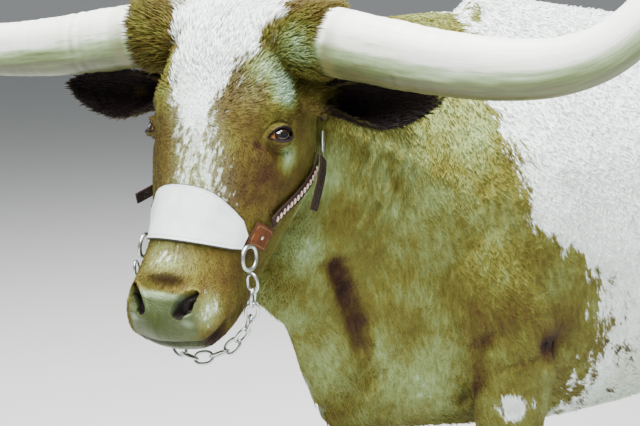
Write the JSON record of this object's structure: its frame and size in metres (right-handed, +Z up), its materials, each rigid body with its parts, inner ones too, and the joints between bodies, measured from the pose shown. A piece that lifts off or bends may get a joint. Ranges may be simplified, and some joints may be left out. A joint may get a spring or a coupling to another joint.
{
  "type": "texas longhorn steer",
  "caption": "Life-size standing longhorn steer with its head turned, long upswept horns, a roan and brown coat, and a leather and chain halter.",
  "frame": {"origin": "on the floor under the middle of the bounding box", "axes": "+Z up, the steer faces -Y and its left side is +X"},
  "size_m": [1.3172, 2.5098, 1.8485],
  "materials": {
    "brown_hide": "short tan to red-brown hair",
    "white_hide": "short white hair with brown flecks",
    "tail_hair": "long coarse hair",
    "horn": "cream horn, brown at the tips and the base",
    "hoof": "dull grey-brown horn",
    "eye": "wet and dark",
    "strap_leather": "dark leather with pale lacing",
    "tab_leather": "red-brown leather",
    "pale_leather": "smooth white, dark at the edge",
    "steel": "dulled steel"
  },
  "bodies": {
    "root": {"head": "brown_hide", "neck": "brown_hide", "torso": "white_hide", "tail_dock": "brown_hide", "tail_switch": "tail_hair", "front_leg_left_upper": "white_hide", "front_leg_left_lower": "white_hide", "hind_leg_left_upper": "white_hide", "hind_leg_left_lower": "white_hide", "hoof_front_left_outer": "hoof", "hoof_front_left_inner": "hoof", "hoof_hind_left_outer": "hoof", "hoof_hind_left_inner": "hoof", "ear_left": "brown_hide", "eye_left": "eye", "horn_left": "horn", "noseband_tab_left": "tab_leather", "halter_ring_left": "steel", "cheek_strap_left": "strap_leather", "buckle_left": "steel", "strap_end_left": "strap_leather", "front_leg_right_upper": "white_hide", "front_leg_right_lower": "white_hide", "hind_leg_right_upper": "white_hide", "hind_leg_right_lower": "white_hide", "hoof_front_right_outer": "hoof", "hoof_front_right_inner": "hoof", "hoof_hind_right_outer": "hoof", "hoof_hind_right_inner": "hoof", "ear_right": "brown_hide", "eye_right": "eye", "horn_right": "horn", "noseband_tab_right": "tab_leather", "halter_ring_right": "steel", "cheek_strap_right": "strap_leather", "buckle_right": "steel", "strap_end_right": "strap_leather", "noseband": "pale_leather", "crown_strap": "strap_leather", "chin_chain": "steel"}
  },
  "joints": []
}
